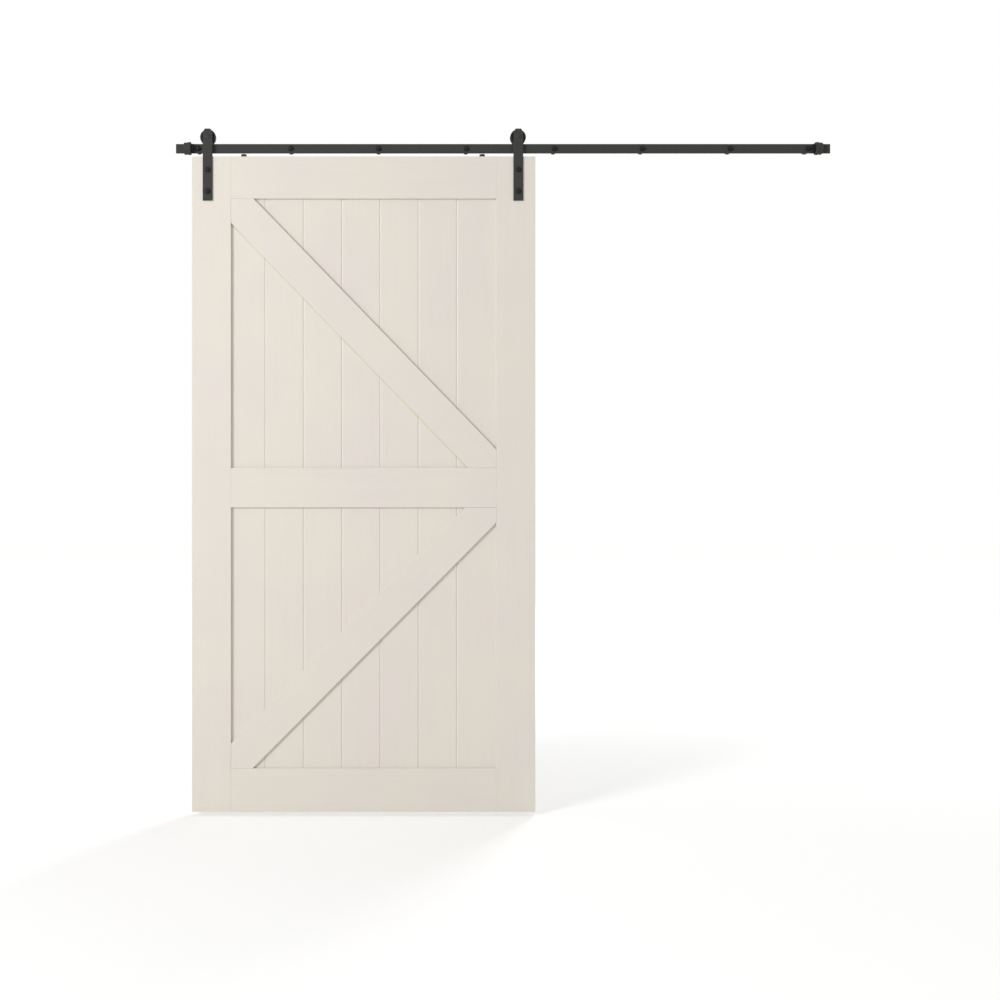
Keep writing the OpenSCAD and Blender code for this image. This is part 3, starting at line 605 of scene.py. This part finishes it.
class BARNDOOR_OT_stage(Operator):
    """Make the pale floor, the soft studio light and the camera."""

    bl_idname = "barndoor.stage"
    bl_label = "Stage"

    def execute(self, context):
        look = context.scene.barn_door_stage
        leaf_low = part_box("left_stile")[0]
        right_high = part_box("right_stile")[1]
        middle = (leaf_low + right_high) / 2
        self.make_floor(context, look, leaf_low.z)
        self.make_world(context, look)
        key_offset = Vector((-look.key_left, -look.key_front, look.key_up))
        fill_offset = Vector((look.fill_right, look.fill_back, look.fill_up))
        self.make_lamp(context, "key", middle, key_offset, look.lamp_size, look.key_power)
        self.make_lamp(context, "fill", middle, fill_offset, look.lamp_size, look.fill_power)
        self.make_camera(context, look, leaf_low)
        context.scene.view_settings.view_transform = "Standard"
        return {"FINISHED"}

    def make_floor(self, context, look, leaf_bottom):
        """A flat floor below the leaf, which glows for the camera.

        It glows less near the leaf, so that it keeps the leaf's shadow.
        """
        half = look.floor_size / 2
        height = leaf_bottom - look.floor_gap
        corners = [(-half, -half), (half, -half), (half, half), (-half, half)]
        mesh = bpy.data.meshes.new("floor")
        mesh.from_pydata([(x, y, height) for x, y in corners], [], [(0, 1, 2, 3)])
        floor = bpy.data.objects.new("floor", mesh)
        context.scene.collection.objects.link(floor)
        material, tree, shader = new_material("matt_floor_paint", look.floor, roughness=0.9, specular=0)
        seen = add_node(tree, "ShaderNodeLightPath")
        spot = grain_space(tree, look.glow_reach)
        distance = add_node(tree, "ShaderNodeVectorMath", {0: spot}, operation="LENGTH")
        fade = add_node(
            tree, "ShaderNodeMapRange",
            {"Value": distance.outputs["Value"], "To Min": look.near_glow, "To Max": look.far_glow},
            interpolation_type="SMOOTHSTEP",
        )
        glow = add_node(
            tree, "ShaderNodeMath",
            {0: seen.outputs["Is Camera Ray"], 1: fade.outputs["Result"]},
            operation="MULTIPLY",
        )
        shader.inputs["Emission Color"].default_value = WHITE
        tree.links.new(glow.outputs["Value"], shader.inputs["Emission Strength"])
        mesh.materials.append(material)

    def make_world(self, context, look):
        """White where it is seen or mirrored, and an even light of the ambient strength elsewhere."""
        world = bpy.data.worlds.new("studio")
        context.scene.world = world
        world.use_nodes = True
        tree = world.node_tree
        tree.nodes.clear()
        path = add_node(tree, "ShaderNodeLightPath")
        mirrored = add_node(
            tree, "ShaderNodeMath",
            {0: path.outputs["Is Glossy Ray"], 1: path.outputs["Is Transmission Ray"]},
            operation="MAXIMUM",
        )
        shown = add_node(
            tree, "ShaderNodeMath",
            {0: path.outputs["Is Camera Ray"], 1: mirrored.outputs["Value"]},
            operation="MAXIMUM",
        )
        even = add_node(tree, "ShaderNodeBackground", {"Color": WHITE, "Strength": look.ambient})
        white = add_node(tree, "ShaderNodeBackground", {"Color": WHITE, "Strength": 1})
        mixed = add_node(
            tree, "ShaderNodeMixShader",
            {0: shown.outputs["Value"], 1: even.outputs["Background"], 2: white.outputs["Background"]},
        )
        add_node(tree, "ShaderNodeOutputWorld", {"Surface": mixed.outputs["Shader"]})

    def make_lamp(self, context, name, target, offset, size, power):
        """A round soft lamp at an offset from the target, facing it."""
        lamp = bpy.data.lights.new(name, "AREA")
        lamp.shape = "DISK"
        lamp.size = size
        lamp.energy = power
        holder = bpy.data.objects.new(name, lamp)
        holder.location = target + offset
        holder.rotation_euler = offset.to_track_quat("Z", "Y").to_euler()
        context.scene.collection.objects.link(holder)

    def make_camera(self, context, look, leaf_low):
        """A camera square to the wall plane. Its shift puts the view's axis left of the middle."""
        # Pixels of the picture: its side, the view's axis, and the leaf's left and lower edges
        image_size = 1000
        axis_column = 388
        axis_row = 503
        leaf_left_column = 191.9
        leaf_bottom_row = 812
        scale = look.view_width / image_size
        camera = bpy.data.cameras.new("camera")
        camera.lens = camera.sensor_width * look.view_distance / look.view_width
        camera.shift_x = (image_size / 2 - axis_column) / image_size
        camera.shift_y = (axis_row - image_size / 2) / image_size
        viewer = bpy.data.objects.new("camera", camera)
        viewer.location = (
            leaf_low.x + (axis_column - leaf_left_column) * scale,
            leaf_low.y - look.view_distance,
            leaf_low.z + (leaf_bottom_row - axis_row) * scale,
        )
        viewer.rotation_euler = (math.pi / 2, 0, 0)
        context.scene.collection.objects.link(viewer)
        context.scene.camera = viewer


class BARNDOOR_OT_leaf(Operator):
    """Paint the frame, braces and boards of the leaf, each along its own grain."""

    bl_idname = "barndoor.leaf"
    bl_label = "Painted leaf"

    def execute(self, context):
        look = context.scene.barn_door_leaf
        upright = satin_paint("satin_paint_upright", look, 0)
        level = satin_paint("satin_paint_level", look, math.pi / 2)
        # The upper boards get a strip of painted shade in the corner under the upper brace's lower edge
        under_brace = satin_paint("satin_paint_upper_boards", look, 0)
        turn, corner = self.lower_edge("upper_brace")
        corner.y = sum(end.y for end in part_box("upper_board_1")) / 2
        paint_crease_shade(under_brace, look, turn, corner)
        for node in nodes_of("painted_wood"):
            if node.endswith("_rail"):
                finish_node(node, level)
            elif node.endswith("_brace"):
                finish_node(node, satin_paint(f"satin_paint_{node}", look, self.brace_turn(node)))
            elif node.startswith("upper_board"):
                finish_node(node, under_brace)
            else:
                finish_node(node, upright)
        for node in nodes_of("bare_beech"):
            finish_node(node, bare_beech(look))
        return {"FINISHED"}

    def brace_turn(self, node):
        """Angle of a brace's length from upright, taken as that of its box's diagonal."""
        low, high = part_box(node)
        turn = math.atan2(high.x - low.x, high.z - low.z)
        return turn if node == "lower_brace" else -turn

    def lower_edge(self, node):
        """Angle from upright, and one end, of the lower edge of a brace that falls to the right."""
        mesh = frame["nodes"][node].data
        points = np.empty(len(mesh.vertices) * 3, dtype=np.float32)
        mesh.vertices.foreach_get("co", points)
        x, _, z = points.reshape(-1, 3).T
        near = 0.01 * MM
        left = float(x.min())
        left_z = float(z[x < left + near].min())
        bottom = float(z.min())
        bottom_x = float(x[z < bottom + near].min())
        return math.atan2(left - bottom_x, left_z - bottom), Vector((left, 0, left_z))


class BARNDOOR_OT_steelwork(Operator):
    """Coat the rail, standoffs, straps, stops and anti-jump discs, and black the bumpers."""

    bl_idname = "barndoor.steelwork"
    bl_label = "Coated steel and bumpers"

    def execute(self, context):
        look = context.scene.barn_door_finish
        coat = shared_material("charcoal_powder_coat", powder_coat, look)
        rubber = moulded_rubber(look)
        for node in nodes_of("coated_steel"):
            finish_node(node, coat)
        for node in nodes_of("black_rubber"):
            finish_node(node, rubber)
        return {"FINISHED"}


class BARNDOOR_OT_wheels(Operator):
    """Turn the two grooved wheels with rounded rims, and finish their bearings."""

    bl_idname = "barndoor.wheels"
    bl_label = "Wheels and bearings"

    def execute(self, context):
        look = context.scene.barn_door_finish
        sizes = context.scene.barn_door_sizes
        for side, axle in axle_places().items():
            steel = ground_steel(side, look, axle)
            for node in nodes_of("bearing_steel"):
                if node.startswith(side):
                    finish_node(node, steel)
            nylon = turned_nylon(side, look, axle)
            node = f"{side}_wheel"
            low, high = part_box(node)
            form = turned_ring(self.profile(sizes, (high.z - low.z) / 2, (high.y - low.y) / 2))
            new_piece(f"turned_{node}", form, [axle], nylon, f"{side}_roller", "black_nylon", node)
        return {"FINISHED"}

    def profile(self, sizes, flange_r, half_width):
        """Section of a wheel, as radius and depth.

        It runs from web and recess in front, over rounded flanges and groove, to lip and seat behind.
        """
        fine = 0.2 * MM
        half_web = sizes.web / 2
        half_groove = sizes.groove / 2
        half_mouth = sizes.groove_mouth / 2
        rim = sizes.rim_rounding
        round_groove = sizes.groove_rounding
        lip_r = sizes.seat - sizes.lip
        corners = [
            (sizes.seat, -half_web, fine), (sizes.recess, -half_web, fine),
            (sizes.recess, -half_width, fine), (flange_r, -half_width, rim),
            (flange_r, -half_mouth, round_groove), (sizes.tread, -half_groove, round_groove),
            (sizes.tread, half_groove, round_groove), (flange_r, half_mouth, round_groove),
            (flange_r, half_width, rim), (sizes.recess, half_width, fine),
            (sizes.recess, half_web, fine), (lip_r, half_web, fine),
            (lip_r, sizes.seat_end, fine), (sizes.seat, sizes.seat_end, fine),
        ]
        return rounded_profile([corner[:2] for corner in corners], [corner[2] for corner in corners])


class BARNDOOR_OT_lag_bolts(Operator):
    """Make the lag bolts with crowned heads, flanges and coarse pointed threads."""

    bl_idname = "barndoor.lag_bolts"
    bl_label = "Lag bolts"

    def execute(self, context):
        sizes = context.scene.barn_door_sizes
        metal = shared_material("black_phosphate_steel", black_phosphate, context.scene.barn_door_finish)
        low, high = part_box("lag_bolts")
        flange_top = low.y + sizes.lag_head
        seat = flange_top + sizes.lag_flange_height
        flange_r = sizes.lag_flange / 2
        shank_r = sizes.lag_shank / 2
        wall = 0
        head = crowned_hexagon(sizes.lag_flats, low.y, flange_top)
        bow_rows = 6
        bow_angles = np.linspace(0, math.pi / 2, bow_rows)
        inner_r = hexagon_corner(sizes.lag_flats)
        bow = round_rows(
            inner_r + (flange_r - inner_r) * np.sin(bow_angles),
            flange_top + sizes.lag_flange_height / 2 * (1 - np.cos(bow_angles)),
        )
        shank = round_rows([flange_r, shank_r, shank_r], [seat, seat, wall])
        crest = sizes.lag_thread / 2
        tip_cut = 0.5 * MM
        thread_r, thread_y = thread_rows(
            wall + THREAD_GAP, high.y - tip_cut, crest, sizes.lag_root / 2,
            pitch=sizes.lag_pitch, runout=sizes.lag_pitch,
        )
        cone = np.clip((high.y - thread_y) / sizes.lag_point, 0, 1) * crest
        thread = (np.minimum(thread_r, cone[:, None]), thread_y)
        radius, depth = stacked(head, bow, shank, thread)
        form = turned_solid(radius, depth, low.y, high.y)
        new_piece("threaded_lag_bolts", form, lag_places(), metal, "track", "dark_fasteners", "lag_bolts")
        return {"FINISHED"}


class BARNDOOR_OT_door_bolts(Operator):
    """Make the door bolts and axle bolts with their heads and fine threads."""

    bl_idname = "barndoor.door_bolts"
    bl_label = "Door bolts and axle bolts"

    def execute(self, context):
        finish = context.scene.barn_door_finish
        sizes = context.scene.barn_door_sizes
        metal = shared_material("black_phosphate_steel", black_phosphate, finish)
        coat = shared_material("charcoal_powder_coat", powder_coat, finish)
        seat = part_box("left_hanger_strap")[0].y
        low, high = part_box("hanger_bolts")
        head = crowned_hexagon(sizes.bolt_flats, low.y, seat)
        radius, depth = stacked(head, self.shank(sizes, seat, high.y))
        washer_low, washer_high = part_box("hanger_washers")
        washer_r = (washer_high.x - washer_low.x - self.hanger_spacing()) / 2
        form = turned_solid(radius, depth, low.y, high.y)
        places = centres("hanger_washers", washer_r)
        new_piece("threaded_door_bolts", form, places, metal, "door", "dark_fasteners", "hanger_bolts")
        low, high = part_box("axle_bolts")
        radius, depth = stacked(self.dome(sizes, low.y, seat), self.shank(sizes, seat, high.y))
        form = turned_solid(radius, depth, low.y, high.y)
        places = [Vector((axle.x, 0, axle.z)) for axle in axle_places().values()]
        new_piece("threaded_axle_bolts", form, places, coat, "door", "coated_steel", "axle_bolts")
        return {"FINISHED"}

    def hanger_spacing(self):
        """Distance between the two axles."""
        axles = axle_places()
        return axles["right"].x - axles["left"].x

    def dome(self, sizes, top, seat):
        """Rows of a low dome: depth = R - sqrt(R^2 - r^2), with R from the dome's width and height."""
        inner_share = 0.08
        rows = 14
        half = sizes.dome / 2
        height = seat - top
        ball = (half ** 2 + height ** 2) / (2 * height)
        radius = half * np.linspace(inner_share, 1, rows)
        return round_rows(radius, top + ball - np.sqrt(ball ** 2 - radius ** 2))

    def shank(self, sizes, seat, end):
        """Rows of a bolt from its seat to its end: smooth shank, fine thread and a small chamfer."""
        radius = sizes.bolt / 2
        chamfer = 0.8 * MM
        start = end - sizes.bolt_thread
        smooth = round_rows([radius, radius], [seat, start])
        thread_r, thread_y = thread_rows(
            start + THREAD_GAP, end, radius, sizes.bolt_root / 2,
            pitch=sizes.bolt_pitch, runout=sizes.bolt_pitch,
        )
        limit = radius - chamfer * np.clip(1 - (end - thread_y) / chamfer, 0, 1)
        return stacked(smooth, (np.minimum(thread_r, limit[:, None]), thread_y))


class BARNDOOR_OT_small_fasteners(Operator):
    """Finish the nuts, washers, spacers and small screws."""

    bl_idname = "barndoor.small_fasteners"
    bl_label = "Small fasteners"

    def execute(self, context):
        metal = shared_material("black_phosphate_steel", black_phosphate, context.scene.barn_door_finish)
        for node in nodes_of("dark_fasteners"):
            finish_node(node, metal)
        return {"FINISHED"}


GROUPS = {
    "barn_door_leaf": LeafPaint,
    "barn_door_finish": HardwareFinish,
    "barn_door_sizes": HardwareSizes,
    "barn_door_stage": StudioStage,
}
OPERATORS = (
    BARNDOOR_OT_stage,
    BARNDOOR_OT_leaf,
    BARNDOOR_OT_steelwork,
    BARNDOOR_OT_wheels,
    BARNDOOR_OT_lag_bolts,
    BARNDOOR_OT_door_bolts,
    BARNDOOR_OT_small_fasteners,
)


class BARNDOOR_PT_panel(Panel):
    """Lists the steps and the values that they use."""

    bl_label = "Barn Door"
    bl_idname = "BARNDOOR_PT_panel"
    bl_space_type = "VIEW_3D"
    bl_region_type = "UI"
    bl_category = "Barn Door"

    def draw(self, context):
        for operator in OPERATORS:
            self.layout.operator(operator.bl_idname)
        for group in GROUPS:
            values = getattr(context.scene, group)
            box = self.layout.box()
            for name in values.__annotations__:
                box.prop(values, name)


def register():
    """Registers the values, the steps and the panel."""
    for name, group in GROUPS.items():
        bpy.utils.register_class(group)
        setattr(bpy.types.Scene, name, PointerProperty(type=group))
    for operator in OPERATORS:
        bpy.utils.register_class(operator)
    bpy.utils.register_class(BARNDOOR_PT_panel)


def unregister():
    """Takes the panel, the steps and the values away again."""
    bpy.utils.unregister_class(BARNDOOR_PT_panel)
    for operator in reversed(OPERATORS):
        bpy.utils.unregister_class(operator)
    for name, group in GROUPS.items():
        delattr(bpy.types.Scene, name)
        bpy.utils.unregister_class(group)


def main():
    """Registers the values, the steps and the panel, then runs every step in order."""
    register()
    bpy.ops.barndoor.stage()
    bpy.ops.barndoor.leaf()
    bpy.ops.barndoor.steelwork()
    bpy.ops.barndoor.wheels()
    bpy.ops.barndoor.lag_bolts()
    bpy.ops.barndoor.door_bolts()
    bpy.ops.barndoor.small_fasteners()


if __name__ == "__main__":
    main()
